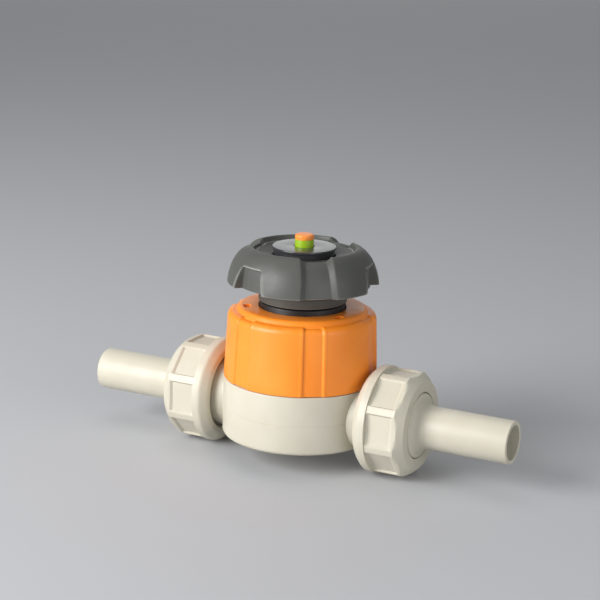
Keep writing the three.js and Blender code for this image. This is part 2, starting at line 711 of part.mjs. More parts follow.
// Drawn along Z: distance from the middle of the valve.
function unionNut(panelAngle) {
  const flangeTopAt = unionNutStart + unionFlangeThickness;
  const panelDepth = 0.8;
  const flatRadius = unionOctagonRadius * Math.cos(22.5 * degree);
  const octagonLength = unionNutEnd - flangeTopAt;
  const octagon = new THREE.CylinderGeometry(unionOctagonRadius, unionOctagonRadius, octagonLength + 1, 8);
  octagon.rotateX(Math.PI / 2).rotateZ(22.5 * degree).translate(0, 0, (flangeTopAt + unionNutEnd - 1) / 2);
  const blank = toSolid(octagon.rotateZ(panelAngle * degree));
  const envelope = turned([
    [0, unionNutStart], [unionFlangeRadius, unionNutStart], [unionFlangeRadius, unionNutEnd - unionChamfer],
    [unionFlangeRadius - unionChamfer - 0.6, unionNutEnd], [0, unionNutEnd],
  ]);
  const panels = copiesAbout(8, panelAngle, () => {
    const panel = block(2, 0.69 * unionOctagonRadius - 3.4, flangeTopAt, unionNutEnd - unionChamfer - 1);
    return panel.translate(flatRadius + 1 - panelDepth, 0, 0);
  });
  const flange = turned([
    [0, unionNutStart], [unionFlangeRadius - unionFlangeSlope, unionNutStart],
    [unionFlangeRadius, unionNutStart + unionFlangeSlope],
    [unionFlangeRadius, flangeTopAt - 0.6], [unionFlangeRadius - 0.6, flangeTopAt], [0, flangeTopAt],
  ]);
  const bore = turned([
    [0, unionNutStart - 1], [unionBore + 2.4, unionNutStart - 1], [unionBore, unionNutStart + 1.4],
    [unionBore, collarTop + fitGap], [0, collarTop + fitGap],
  ], midSteps);
  const groove = helix({
    radius: portRadius, height: threadHeight + threadGap / 2, pitch: unionPitch, steps: unionSteps,
    from: portThreadStart - unionPitch, to: portThreadStart + 1.5 * unionPitch, grow: threadGap / 2,
  });
  const hole = rod(unionHole, unionNutStart, unionNutEnd + 1, midSteps);
  return cut(cut(blank.intersect(toSolid(envelope)), ...panels).add(toSolid(flange)), bore, groove, hole);
}

function unionEnd() {
  const nutFace = unionNutEnd + 0.2;
  const end = overallLength / 2;
  const outline = [
    [pipeBore, collarBottom], [collarRadius - 0.4, collarBottom], [collarRadius, collarBottom + 0.4],
    [collarRadius, collarTop], [neckRadius, collarTop], [neckRadius, nutFace - 0.8],
    [neckRadius - 0.8, nutFace],
  ];
  const fillet = neckRadius - 0.8 - pipeRadius;
  for (const share of [0.5, 0.8, 1]) {
    const angle = share * (Math.PI / 2);
    const radius = pipeRadius + fillet * (1 - Math.sin(angle));
    outline.push([radius, nutFace + unionConeLength * (1 - Math.cos(angle))]);
  }
  outline.push([pipeRadius, end - 0.5], [pipeRadius - 0.5, end], [pipeBore, end]);
  return toSolid(turned(outline, midSteps));
}

function faceSeal() {
  return toSolid(oRing(11.9, 1, portEnd - 1));
}

// ---- Assembly -----------------------------------------------------------------------

const valve = new THREE.Group();

function stand(name, solid, material, y = 0) {
  const made = piece(name, solid, material);
  made.position.y = y;
  valve.add(made);
}

stand('valve_body', valveBody(), ppBeige);
stand('mounting_insert_front', mountingInsert(), brass, -insertSpacing / 2);
stand('mounting_insert_back', mountingInsert(), brass, insertSpacing / 2);
stand('diaphragm', diaphragm(), rubberBlack);
stand('diaphragm_stud', diaphragmStud(), steel);
stand('compressor', compressor(), bonnetBlack);
stand('compressor_pin', compressorPin(), steel);
stand('spindle', spindle(), steel);
stand('spindle_o_ring', toSolid(oRing(spindleTopRadius - 0.2, 0.7, spindleRingHeight)), rubberBlack);
stand('indicator_stem', indicatorStem(), stemGreen);
stand('indicator_cap', indicatorCap(), capOrange);
stand('bonnet', bonnet(), bonnetBlack);
stand('bonnet_o_ring', toSolid(oRing(bonnetRadius - 0.7, 0.8, bonnetRingHeight)), rubberBlack);
stand('slide_ring', slideRing(), slidingWhite);
stand('housing_nut', housingNut(), nutOrange);
stand('spindle_nut', spindleNut(), brass);
stand('thrust_washer_lower', thrustWasher(lowerWasherBottom, spindleNutFlangeRadius - 0.3), slidingWhite);
stand('thrust_washer_upper', thrustWasher(upperWasherBottom, spindleNutRadius + 5.9), slidingWhite);
stand('retaining_ring', retainingRing(), steel);
stand('handwheel', handwheel(), wheelGrey);
stand('cover_disc', coverDisc(), discGrey);
stand('indicator_seal', toSolid(oRing(indicatorRadius + 1.15, 0.75, discBottom - 1.1)), rubberBlack);

for (const [sideName, side, panelAngle] of [['left', -1, leftPanelAngle], ['right', 1, rightPanelAngle]]) {
  const arm = new THREE.Group();
  arm.position.z = axisHeight;
  arm.rotation.y = (side * Math.PI) / 2;
  arm.add(piece(`face_seal_${sideName}`, faceSeal(), rubberBlack));
  arm.add(piece(`union_end_${sideName}`, unionEnd(), ppBeige));
  arm.add(piece(`union_nut_${sideName}`, unionNut(panelAngle), ppBeige));
  valve.add(arm);
}

export default valve;
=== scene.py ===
import json
import math
import bpy
from mathutils import Matrix, Vector


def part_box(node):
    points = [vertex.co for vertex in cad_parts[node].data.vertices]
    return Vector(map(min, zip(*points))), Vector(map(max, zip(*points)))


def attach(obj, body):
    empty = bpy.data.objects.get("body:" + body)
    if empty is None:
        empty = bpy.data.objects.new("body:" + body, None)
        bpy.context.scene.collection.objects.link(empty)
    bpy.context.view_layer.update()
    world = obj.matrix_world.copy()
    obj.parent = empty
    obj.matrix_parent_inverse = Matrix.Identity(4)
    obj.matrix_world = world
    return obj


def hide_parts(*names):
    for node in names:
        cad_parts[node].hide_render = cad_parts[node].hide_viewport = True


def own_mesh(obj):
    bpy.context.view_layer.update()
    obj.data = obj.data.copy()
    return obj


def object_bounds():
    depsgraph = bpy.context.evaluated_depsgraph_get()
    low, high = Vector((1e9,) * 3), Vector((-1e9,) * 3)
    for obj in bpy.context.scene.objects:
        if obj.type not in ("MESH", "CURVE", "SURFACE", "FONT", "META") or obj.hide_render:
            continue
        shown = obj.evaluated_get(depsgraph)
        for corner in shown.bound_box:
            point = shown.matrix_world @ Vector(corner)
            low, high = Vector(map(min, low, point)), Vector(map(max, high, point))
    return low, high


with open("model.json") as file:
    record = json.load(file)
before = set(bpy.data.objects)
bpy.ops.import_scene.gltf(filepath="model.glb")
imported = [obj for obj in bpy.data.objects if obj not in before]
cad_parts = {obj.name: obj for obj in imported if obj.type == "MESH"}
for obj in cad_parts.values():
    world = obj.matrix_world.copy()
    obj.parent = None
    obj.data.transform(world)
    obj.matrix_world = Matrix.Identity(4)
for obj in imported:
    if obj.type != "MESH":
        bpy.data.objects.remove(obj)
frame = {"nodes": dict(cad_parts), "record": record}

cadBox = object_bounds()
mm = 0.001   # shapes are worked out in millimetres, and the meshes are in metres


def low(node):
    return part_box(node)[0][2] / mm


def high(node):
    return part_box(node)[1][2] / mm


def wide(node):
    # half width across the pipe, which is the radius of anything turned
    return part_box(node)[1][1] / mm


pipeHeight = (low("union_end_left") + high("union_end_left")) / 2


def smooth(share):
    # climbs from 0 to 1 with level ends
    share = min(max(share, 0.0), 1.0)
    return share * share * (3 - 2 * share)


def ramp(distance, length, rounding):
    # climbs from 0 to 1 in a straight slope whose two ends are rounded
    if distance < rounding:
        return max(distance + rounding, 0) ** 2 / (4 * rounding * length)
    if distance > length - rounding:
        return 1 - max(length + rounding - distance, 0) ** 2 / (4 * rounding * length)
    return distance / length


def alongMarks(marks, share):
    # marks are (share, value): the value at a share between two of them
    for (a, here), (b, there) in zip(marks, marks[1:]):
        if share <= b + 1e-6:
            return here + (there - here) * (share - a) / (b - a)
    return marks[-1][1]


def arc(centre, radii, start, end, count):
    # corners round a quarter of a circle or an ellipse, angles in degrees from the outward side
    corners = []
    for i in range(count + 1):
        angle = math.radians(start + (end - start) * i / count)
        corners.append((centre[0] + radii[0] * math.cos(angle), centre[1] + radii[1] * math.sin(angle)))
    return corners


def pick(piece, wanted):
    # selects the vertices that a test on their place, in millimetres, says yes to
    bpy.ops.object.mode_set(mode="OBJECT")
    for part in (piece.data.polygons, piece.data.edges):
        for item in part:
            item.select = False
    for vertex in piece.data.vertices:
        vertex.select = wanted(vertex.co / mm)
    bpy.ops.object.mode_set(mode="EDIT")


def turned(name, corners, steps):
    # corners are (radius, height) or (radius, height, rounding), joined up in order
    bpy.ops.object.select_all(action="DESELECT")
    bpy.ops.mesh.primitive_plane_add(size=mm)
    piece = bpy.context.object
    piece.name = name
    bpy.ops.object.mode_set(mode="EDIT")
    bpy.ops.mesh.select_mode(type="VERT")
    bpy.ops.mesh.select_all(action="SELECT")
    bpy.ops.mesh.merge(type="CENTER")
    places = [Vector((corner[0], 0, corner[1])) * mm for corner in corners]
    bpy.ops.transform.translate(value=places[0])
    for here, there in zip(places, places[1:] + places[:1]):
        if here.x + there.x > 0:   # no line is drawn up the axis itself
            bpy.ops.mesh.extrude_region_move(TRANSFORM_OT_translate={"value": there - here})
    bpy.ops.mesh.select_all(action="SELECT")
    bpy.ops.mesh.remove_doubles(threshold=0.001 * mm)
    for rounding in sorted({corner[2] for corner in corners if len(corner) > 2}):
        eased = [place for place, corner in zip(places, corners) if corner[2:] == (rounding,)]
        pick(piece, lambda co: any((co * mm - place).length < 0.002 * mm for place in eased))
        bpy.ops.mesh.bevel(offset=rounding * mm, segments=4, profile=0.5, affect="VERTICES")
    bpy.ops.mesh.select_all(action="SELECT")
    bpy.ops.mesh.spin(steps=steps, angle=2 * math.pi, center=(0, 0, 0), axis=(0, 0, 1))
    closeUp(piece)
    return piece


def closeUp(piece):
    # welds the seams and turns the faces outwards, from edit mode
    bpy.ops.mesh.select_all(action="SELECT")
    bpy.ops.mesh.remove_doubles(threshold=0.003 * mm)
    bpy.ops.mesh.normals_make_consistent(inside=False)
    bpy.ops.object.mode_set(mode="OBJECT")


def reshape(piece, place):
    # place(angle, radius, height) gives the new three, in degrees and millimetres
    for vertex in piece.data.vertices:
        x, y, z = vertex.co / mm
        angle, radius, height = place(math.degrees(math.atan2(y, x)), math.hypot(x, y), z)
        around = math.radians(angle)
        vertex.co = Vector((radius * math.cos(around), radius * math.sin(around), height)) * mm
    workOn(piece)
    bpy.ops.object.mode_set(mode="EDIT")
    closeUp(piece)


def block(size, place, turn=0.0):
    # a box with its middle at a place, turned about the upright axis, all in millimetres and degrees
    bpy.ops.object.select_all(action="DESELECT")
    bpy.ops.mesh.primitive_cube_add(size=1)
    made = bpy.context.object
    made.scale = Vector(size) * mm
    made.rotation_euler = (0, 0, math.radians(turn))
    made.location = Vector(place) * mm
    bpy.ops.object.transform_apply(location=True, rotation=True, scale=True)
    return made


def reachOf(node):
    # how far a node of one arm of the pipe reaches from the middle
    lowest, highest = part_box(node)
    return max(abs(lowest[0]), abs(highest[0])) / mm


def outline(name, corners):
    # a face with four (radius, height) corners, standing beside the axis
    bpy.ops.object.select_all(action="DESELECT")
    bpy.ops.mesh.primitive_plane_add(size=mm)
    made = bpy.context.object
    made.name = name
    for vertex, corner in zip((0, 1, 3, 2), corners):
        made.data.vertices[vertex].co = Vector((corner[0], 0, corner[1])) * mm
    return made


def workOn(piece, *others):
    # selects these and nothing else
    bpy.ops.object.select_all(action="DESELECT")
    for each in (piece, *others):
        each.select_set(True)
    bpy.context.view_layer.objects.active = piece


def applyLast(piece):
    workOn(piece)
    bpy.ops.object.modifier_apply(modifier=piece.modifiers[-1].name)


def combine(piece, other, how):
    # adds another piece or cuts it away, and uses it up
    made = piece.modifiers.new("shape", "BOOLEAN")
    made.operation = how
    made.solver = "EXACT"
    made.object = other
    applyLast(piece)
    bpy.data.objects.remove(other)


def join(piece, *others):
    workOn(piece, *others)
    bpy.ops.object.join()


def thread(name, radius, height, pitch, start, turns, inward=False):
    # a V ridge with a flat crest, wound up an axis by the Screw modifier, its ends closed
    way = -1 if inward else 1
    root = radius - 0.3 * way   # sunk into the wall
    crest = radius + height * way
    rootHalf, crestHalf = 0.34 * pitch, 0.08 * pitch
    ridge = outline(name, [(root, start - rootHalf), (crest, start - crestHalf),
                           (crest, start + crestHalf), (root, start + rootHalf)])
    bpy.ops.object.mode_set(mode="EDIT")
    bpy.ops.mesh.select_all(action="SELECT")
    bpy.ops.mesh.delete(type="ONLY_FACE")
    bpy.ops.object.mode_set(mode="OBJECT")
    wind = ridge.modifiers.new("wind", "SCREW")
    wind.angle = 2 * math.pi * turns
    wind.screw_offset = pitch * turns * mm
    wind.steps = wind.render_steps = round(72 * turns)
    applyLast(ridge)
    bpy.ops.object.mode_set(mode="EDIT")
    bpy.ops.mesh.select_all(action="SELECT")
    bpy.ops.mesh.fill_holes(sides=4)
    closeUp(ridge)
    return ridge


def alongPipe(piece, side):
    # lays a piece turned about the upright axis onto one arm of the pipe
    workOn(piece)
    piece.rotation_euler = (0, side * math.pi / 2, 0)
    piece.location = (0, 0, pipeHeight * mm)
    bpy.ops.object.transform_apply(location=True, rotation=True, scale=True)
    return piece


def smoothed(piece, angle=38):
    workOn(piece)
    bpy.ops.object.shade_smooth_by_angle(angle=math.radians(angle))
    return piece


def settle(piece, body, nodes, slot):
    # gives a piece its finish, the body it moves with and the nodes it stands for
    piece.data.materials.clear()
    piece.data.materials.append(finishes[slot])
    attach(piece, body)
    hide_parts(*nodes)
    print("made", piece.name, len(piece.data.polygons), "faces")


def colour(hexCode):
    # sRGB hex to the linear values a shader takes
    parts = [int(hexCode[i:i + 2], 16) / 255 for i in (1, 3, 5)]
    return tuple(c / 12.92 if c <= 0.04045 else ((c + 0.055) / 1.055) ** 2.4 for c in parts) + (1.0,)


def addNode(tree, kind, settings, links=()):
    made = tree.nodes.new(kind)
    for name, value in settings.items():
        if name in made.inputs:
            made.inputs[name].default_value = value
        else:
            setattr(made, name, value)
    for name, source in links:
        tree.links.new(source, made.inputs[name])
    return made


def startFinish(name, settings):
    finish = bpy.data.materials.new(name)
    finish.use_nodes = True
    tree = finish.node_tree
    shader = tree.nodes["Principled BSDF"]
    for socket, value in settings.items():
        shader.inputs[socket].default_value = value
    place = addNode(tree, "ShaderNodeTexCoord", {}).outputs["Object"]
    return finish, tree, shader, place


def spots(tree, place, size, detail=2.0):
    # noise whose blotches are about the given number of millimetres across
    settings = {"Scale": 1 / (size * mm), "Detail": detail, "Roughness": 0.55}
    return addNode(tree, "ShaderNodeTexNoise", settings, [("Vector", place)]).outputs["Fac"]


def spread(tree, source, lowest, highest, fromLow=0.3, fromHigh=0.7):
    # stretches a value from one range to another
    ranges = {"From Min": fromLow, "From Max": fromHigh, "To Min": lowest, "To Max": highest}
    return addNode(tree, "ShaderNodeMapRange", ranges, [("Value", source)]).outputs["Result"]


def mouldedPlastic(name, tones, gloss, grainSize, grainDepth, settings, paintedEdgeHighlight=None):
    # melt flow leaves faint clouds in the colour, the tool's surface leaves the grain
    finish, tree, shader, place = startFinish(name, settings)
    clouds = addNode(tree, "ShaderNodeValToRGB", {}, [("Fac", spots(tree, place, 22.0, 3.0))])
    clouds.color_ramp.elements[0].position = 0.3
    clouds.color_ramp.elements[1].position = 0.7
    clouds.color_ramp.elements[0].color = colour(tones[0])
    clouds.color_ramp.elements[1].color = colour(tones[1])
    skin = clouds.outputs["Color"]
    if paintedEdgeHighlight:   # painted highlight: the raised edges are made paler, standing in for light catching their rounded edges
        shape = addNode(tree, "ShaderNodeNewGeometry", {}).outputs["Pointiness"]
        edgeHighlightMix = addNode(tree, "ShaderNodeMix", {"data_type": "RGBA"})   # its colour sockets go by number
        tree.links.new(spread(tree, shape, 0.0, 0.75, 0.515, 0.56), edgeHighlightMix.inputs[0])
        tree.links.new(skin, edgeHighlightMix.inputs[6])
        edgeHighlightMix.inputs[7].default_value = colour(paintedEdgeHighlight)
        skin = edgeHighlightMix.outputs[2]
    tree.links.new(skin, shader.inputs["Base Color"])
    tree.links.new(spread(tree, spots(tree, place, 5.0, 4.0), gloss[0], gloss[1]), shader.inputs["Roughness"])
    grain = addNode(tree, "ShaderNodeBump", {"Strength": 0.6, "Distance": grainDepth * mm},
                    [("Height", spots(tree, place, grainSize, 3.0))])
    tree.links.new(grain.outputs["Normal"], shader.inputs["Normal"])
    return finish


def turnedMetal(name, tones, gloss, settings):
    # the tool's feed leaves fine rings across the axis, drawn this far apart so that they show
    spacing = math.pi / 2
    finish, tree, shader, place = startFinish(name, settings)
    bands = {"wave_type": "BANDS", "bands_direction": "Z", "Distortion": 0.6,
             "Scale": 2 * math.pi / (20 * spacing * mm)}
    rings = addNode(tree, "ShaderNodeTexWave", bands, [("Vector", place)]).outputs["Fac"]
    tint = addNode(tree, "ShaderNodeValToRGB", {}, [("Fac", spots(tree, place, 3.0, 3.0))])
    tint.color_ramp.elements[0].color = colour(tones[0])
    tint.color_ramp.elements[1].color = colour(tones[1])
    tree.links.new(tint.outputs["Color"], shader.inputs["Base Color"])
    tree.links.new(spread(tree, rings, gloss[0], gloss[1], 0.0, 1.0), shader.inputs["Roughness"])
    cuts = addNode(tree, "ShaderNodeBump", {"Strength": 0.4, "Distance": 0.01 * mm}, [("Height", rings)])
    tree.links.new(cuts.outputs["Normal"], shader.inputs["Normal"])
    return finish


finishes = {
    # natural polypropylene: satin, and a little light comes through the thin edges
    "pp_beige": mouldedPlastic(
        "mouldedBeigePolypropylene", ("#C6C0AE", "#CDC8B8"), (0.36, 0.5), 0.5, 0.012,
        {"IOR": 1.49, "Subsurface Weight": 0.12, "Subsurface Scale": 0.002,
         "Subsurface Radius": (1.0, 0.8, 0.5)}),
    # glass-filled polypropylene in orange: brighter, smoother skin from a polished tool
    "nut_orange": mouldedPlastic(
        "mouldedOrangePolypropylene", ("#F98A20", "#FE9530"), (0.32, 0.44), 0.6, 0.01,
        {"IOR": 1.49, "Subsurface Weight": 0.06, "Subsurface Scale": 0.0015,
         "Subsurface Radius": (1.0, 0.45, 0.2)}),
    # glass-filled polypropylene from a spark-eroded tool: dull with a fine even grain; its raised edges get a
    # painted highlight, a paler colour standing in for light catching them
    "wheel_grey": mouldedPlastic(
        "grainedCharcoalPolypropylene", ("#4C4D49", "#545550"), (0.42, 0.56), 0.55, 0.05,
        {"IOR": 1.49}, paintedEdgeHighlight="#A4A59E"),
    # polished cover: dark and glossy, so it mirrors the light above
    "disc_grey": mouldedPlastic(
        "polishedDarkCover", ("#343437", "#3B3B3E"), (0.2, 0.28), 3.0, 0.006,
        {"IOR": 1.5, "Coat Weight": 0.4, "Coat Roughness": 0.1}),
    # black polypropylene straight from the mould: satin, faintly grained
    "bonnet_black": mouldedPlastic(
        "mouldedBlackPolypropylene", ("#151515", "#1C1C1B"), (0.42, 0.55), 0.5, 0.02, {"IOR": 1.49}),
    # small bright mouldings: smooth, and thin enough to glow a little
    "cap_orange": mouldedPlastic(
        "mouldedCapOrange", ("#F5882B", "#FA9A45"), (0.3, 0.4), 0.5, 0.008,
        {"IOR": 1.49, "Subsurface Weight": 0.1, "Subsurface Scale": 0.001}),
    "stem_green": mouldedPlastic(
        "mouldedSignalGreen", ("#8DAF12", "#9ABB1A"), (0.3, 0.4), 0.5, 0.008,
        {"IOR": 1.49, "Subsurface Weight": 0.1, "Subsurface Scale": 0.001}),
    # EPDM rubber: matt, with a bloom of slightly paler patches
    "rubber_black": mouldedPlastic(
        "epdmRubber", ("#161616", "#222222"), (0.65, 0.85), 0.4, 0.02, {"IOR": 1.52}),
    # sliding plastic, white and waxy
    "slide_white": mouldedPlastic(
        "whiteSlidingPlastic", ("#E9E9E3", "#F1F1EC"), (0.3, 0.42), 0.5, 0.008, {"IOR": 1.38}),
    # metals cut on a lathe: bright, with fine rings
    "brass": turnedMetal("turnedBrass", ("#C9A45C", "#D8B56C"), (0.22, 0.36), {"Metallic": 1.0}),
    "steel": turnedMetal("turnedStainlessSteel", ("#BFC1C3", "#CFD0D1"), (0.2, 0.34), {"Metallic": 1.0}),
}
print("finishes ready")


bodySizes = {
    "steps": 192,
    "baseRound": 2.0,
    "partingDepth": 0.16,       # hairline where the two halves of the mould met
    "nutGap": 0.3,
    "cupRadius": 30.8,
    "cupBore": 27.9,
    "seat": 25.0,
    "crest": 20.0,              # lowest point of the hollow under the diaphragm
    "cavityRadius": 25.0,
    "portRadius": 16.7,
    "portRoot": 24.0,           # each port starts this far from the middle, inside the drum
    "portEnd": 52.0,
    "sealGroove": (10.6, 13.2, 2.3),   # inner radius, outer radius and depth
    "portBore": 7.5,
    "weirThickness": 6.0,
    "riserFoot": (20.5, -1.0),  # channel up to the seat: out from the middle, and up from the pipe's axis
    "riserTop": (6.5, -0.5),    # out from the middle, and up from the seat
    "riserRadius": 5.4,
    "threadHeight": 0.9,
    "threadPitch": 4.0,
    "cupThread": (3.6, 2.5),    # start above the drum, and turns
    "portThread": (40.1, 2.2),  # start from the middle, and turns
    "insertSpacing": 25.0,
    "insertHole": 4.3,
    "insertDepth": 10.6,
    "pocketAngles": (66, 114, 246, 294),
    "pocketSweep": 38,
    "pocketDepth": 3.0,
    "pocketWalls": (7.0, 4.0),  # left between a pocket and the inserts, and between it and the outside
}


def makeBody():
    s = bodySizes
    radius = wide("valve_body")
    top = low("housing_nut") - s["nutGap"]
    cup = high("valve_body")
    seat, split, end = s["seat"], s["partingDepth"], s["portEnd"]
    body = turned("valveBody", [
        (0, 0), (radius, 0, s["baseRound"]), (radius, pipeHeight - split), (radius - split, pipeHeight),
        (radius, pipeHeight + split), (radius, top, 0.4), (s["cupRadius"], top), (s["cupRadius"], cup, 0.8),
        (s["cupBore"], cup, 0.3), (s["cupBore"], seat), (0, seat),
    ], s["steps"])
    grooveInner, grooveOuter, grooveDepth = s["sealGroove"]
    for side in (-1, 1):
        port = turned("port", [
            (0, s["portRoot"]), (s["portRadius"], s["portRoot"]), (s["portRadius"], end, 0.5),
            (grooveOuter, end), (grooveOuter, end - grooveDepth), (grooveInner, end - grooveDepth),
            (grooveInner, end), (0, end),
        ], 128)
        combine(body, alongPipe(port, side), "UNION")
    over = cup + 1
    mouth = turned("cupVoid", [(0, seat), (s["cupBore"], seat), (s["cupBore"], over), (0, over)], s["steps"])
    combine(body, mouth, "DIFFERENCE")
    for side in (-1, 1):
        bore = turned("bore", [(0, s["weirThickness"] / 2), (s["portBore"], s["weirThickness"] / 2, 1.5),
                               (s["portBore"], end + 1), (0, end + 1)], 96)
        combine(body, alongPipe(bore, side), "DIFFERENCE")
        combine(body, riser(side), "DIFFERENCE")
        hole = turned("insertHole", [(0, -1), (s["insertHole"], -1), (s["insertHole"], s["insertDepth"]),
                                     (0, s["insertDepth"])], 64)
        hole.location.y = side * s["insertSpacing"] / 2 * mm
        combine(body, hole, "DIFFERENCE")
    bpy.ops.object.select_all(action="DESELECT")
    bpy.ops.mesh.primitive_uv_sphere_add(segments=96, ring_count=64, radius=s["cavityRadius"] * mm,
                                         location=(0, 0, (s["crest"] + s["cavityRadius"]) * mm))
    combine(body, bpy.context.object, "DIFFERENCE")
    for angle in s["pocketAngles"]:
        combine(body, basePocket(radius, angle), "DIFFERENCE")
    start, turns = s["cupThread"]
    join(body, thread("cupThread", s["cupRadius"], s["threadHeight"], s["threadPitch"], top + start, turns))
    start, turns = s["portThread"]
    for side in (-1, 1):
        portThread = thread("portThread", s["portRadius"], s["threadHeight"], s["threadPitch"], start, turns)
        join(body, alongPipe(portThread, side))
    smoothed(body)
    settle(body, "base", ["valve_body"], "pp_beige")


def riser(side):
    # the slanted channel from the end of a bore up to the seat
    s = bodySizes
    start = Vector((side * s["riserFoot"][0], 0, pipeHeight + s["riserFoot"][1])) * mm
    end = Vector((side * s["riserTop"][0], 0, s["seat"] + s["riserTop"][1])) * mm
    bpy.ops.object.select_all(action="DESELECT")
    bpy.ops.mesh.primitive_cylinder_add(vertices=64, radius=s["riserRadius"] * mm, depth=(end - start).length,
                                        location=(start + end) / 2,
                                        rotation=(end - start).to_track_quat("Z", "Y").to_euler())
    return bpy.context.object


def basePocket(radius, angle):
    # a shallow pocket in the base, a stretch of a ring
    s = bodySizes
    inner = s["insertSpacing"] / 2 + s["pocketWalls"][0]
    outer = radius - s["pocketWalls"][1]
    deep = s["pocketDepth"]
    pocket = outline("pocket", [(inner, -1), (outer, -1), (outer, deep), (inner, deep)])
    pocket.data.transform(Matrix.Rotation(math.radians(angle - s["pocketSweep"] / 2), 4, "Z"))
    bpy.ops.object.mode_set(mode="EDIT")
    bpy.ops.mesh.select_all(action="SELECT")
    bpy.ops.mesh.spin(steps=16, angle=math.radians(s["pocketSweep"]), center=(0, 0, 0), axis=(0, 0, 1))
    bpy.ops.mesh.select_all(action="SELECT")
    bpy.ops.mesh.normals_make_consistent(inside=False)
    bpy.ops.object.mode_set(mode="OBJECT")
    return pocket


nutSizes = {
    "radius": 36.3,
    "shoulder": 3.2,
    "plateRise": 2.25,      # the top plate stands this much above the shoulder
    "draft": 1.3,
    "channels": 6,
    "channelAngle": -54.2,
    "channelHalf": 4.4,
    "channelDepth": 0.65,
    "channelWall": 0.55,
    "beadHeight": 0.12,     # low lip along each side of a channel
    "stepsPerSector": 60,
    "holeRadius": 20.6,
    "topWall": 4.1,
    "ceilingRadius": 28.3,
    "reliefTop": 45.8,      # the bore narrows above the thread between these two heights
    "reliefFoot": 44.6,
    "threadBore": 32.1,
    "threadHeight": 0.9,
    "threadPitch": 4.0,
    "thread": (5.3, 2.5),   # start above the foot, and turns
    "notches": 3,
    "notchAngle": -24.5,
    "notchRadius": 26.1,
    "notch": (3.4, 5.4, 3.6),   # across the rim, along it and down
    "notchRound": 0.5,
}


def channelTurn(share):
    # degrees from the middle of a channel; share runs 0 to 1 over half a sector, and the columns
    # crowd at the channel's wall
    return alongMarks([(0, 0), (0.12, 6.4), (0.44, 8.6), (0.62, 11.5), (1, 30)], share)


def channelDepth(angle):
    # depth of the skin below its full height, this many degrees from the middle of a channel
    s = nutSizes
    past = math.radians(angle) * s["radius"] - s["channelHalf"]
    wall = s["channelDepth"] * (1 - ramp(past, s["channelWall"], 0.2))
    # the bead starts 0.6 mm past the channel's edge and ends 2.3 mm past it
    bead = s["beadHeight"] * smooth((past - 0.6) / 0.6) * (1 - smooth((past - 1.6) / 0.7))
    return wall - bead


def makeNut():
    s = nutSizes
    foot = low("housing_nut")
    top = high("housing_nut")
    radius = s["radius"]
    ceiling = top - s["topWall"]
    shoulderTop = top - s["plateRise"]
    middle = radius - s["draft"] - s["shoulder"]
    spring = shoulderTop - s["shoulder"]   # where the straight skirt turns into the shoulder
    skirt = [(radius - s["draft"] * i / 6, foot + (spring - foot) * i / 6) for i in range(6)]
    skirt[0] = (radius, foot, 0.35)
    nut = turned("housingNut", [
        *skirt, *arc((middle, spring), (s["shoulder"], s["shoulder"]), 0, 90, 10),
        (middle - 0.4, shoulderTop), (middle - 1.0, shoulderTop, 0.5), (middle - 2.3, top, 1.0),
        (s["holeRadius"], top, 0.3), (s["holeRadius"], ceiling),
        (s["ceilingRadius"], ceiling, 0.5), (s["ceilingRadius"], s["reliefTop"]),
        (s["threadBore"], s["reliefFoot"]), (s["threadBore"], foot, 0.4),
    ], s["channels"] * s["stepsPerSector"])

    sector = 360 / s["channels"]

    def place(angle, reach, height):
        # presses the channels into the skirt and over the shoulder
        share = (angle / sector) % 1 * 2
        whole = round(angle / sector - (share / 2))
        offset = channelTurn(share) if share <= 1 else sector - channelTurn(2 - share)
        inset = channelDepth(min(offset, sector - offset))
        turn = s["channelAngle"] + whole * sector + offset
        if height < spring:
            if reach > s["threadBore"] + 1.9:   # the outside only
                reach -= inset
            return turn, reach, height
        out = Vector((reach - middle, height - spring))
        if out.x > 0:
            out *= 1 - inset / out.length
        elif out.x > -1:
            out.y -= inset * smooth((out.x + 1) / 0.5)
        return turn, middle + out.x, spring + out.y

    reshape(nut, place)
    deep, across, down = s["notch"]
    for i in range(s["notches"]):
        angle = s["notchAngle"] + 360 / s["notches"] * i
        around = math.radians(angle)
        middleOfNotch = (s["notchRadius"] * math.cos(around), s["notchRadius"] * math.sin(around), top)
        notch = block((deep, across, 2 * down), middleOfNotch, angle)
        bpy.ops.object.mode_set(mode="EDIT")
        bpy.ops.mesh.select_all(action="SELECT")
        bpy.ops.mesh.bevel(offset=s["notchRound"] * mm, segments=3, affect="EDGES")
        bpy.ops.object.mode_set(mode="OBJECT")
        combine(nut, notch, "DIFFERENCE")
    start, turns = s["thread"]
    join(nut, thread("nutThread", s["threadBore"], s["threadHeight"], s["threadPitch"],
                     foot + start, turns, inward=True))
    smoothed(nut, 34)
    settle(nut, "housing_ring", ["housing_nut"], "nut_orange")


bonnetSizes = {
    "bore": 16.0,
    "groove": (36.9, 39.3, 1.8),   # heights of its foot and top, and its depth
    "neckRadius": 20.3,
    "neckHeight": 8.2,
    "neckBore": 9.6,
    "roof": 12.2,                  # thickness of the roof that the neck's bore goes through
    "keyway": (42.0, 6.6),         # slot in which the compressor's cross pin rises and falls
}


def makeBonnet():
    s = bonnetSizes
    foot = low("bonnet")
    top = high("bonnet")
    shoulder = top - s["neckHeight"]
    ceiling = top - s["roof"]
    radius = wide("bonnet")
    grooveFoot, grooveTop, grooveDepth = s["groove"]
    bonnet = turned("bonnet", [
        (s["bore"], foot, 0.3), (radius, foot, 0.4), (radius, grooveFoot), (radius - grooveDepth, grooveFoot),
        (radius - grooveDepth, grooveTop), (radius, grooveTop), (radius, shoulder, 0.4),
        (s["neckRadius"], shoulder, 0.4), (s["neckRadius"], top, 0.6), (s["neckBore"], top, 0.3),
        (s["neckBore"], ceiling), (s["bore"], ceiling),
    ], 160)
    keyway = block((*s["keyway"], ceiling - foot + 1), (0, 0, (foot - 1 + ceiling) / 2))
    combine(bonnet, keyway, "DIFFERENCE")
    smoothed(bonnet)
    settle(bonnet, "bonnet_unit", ["bonnet"], "bonnet_black")


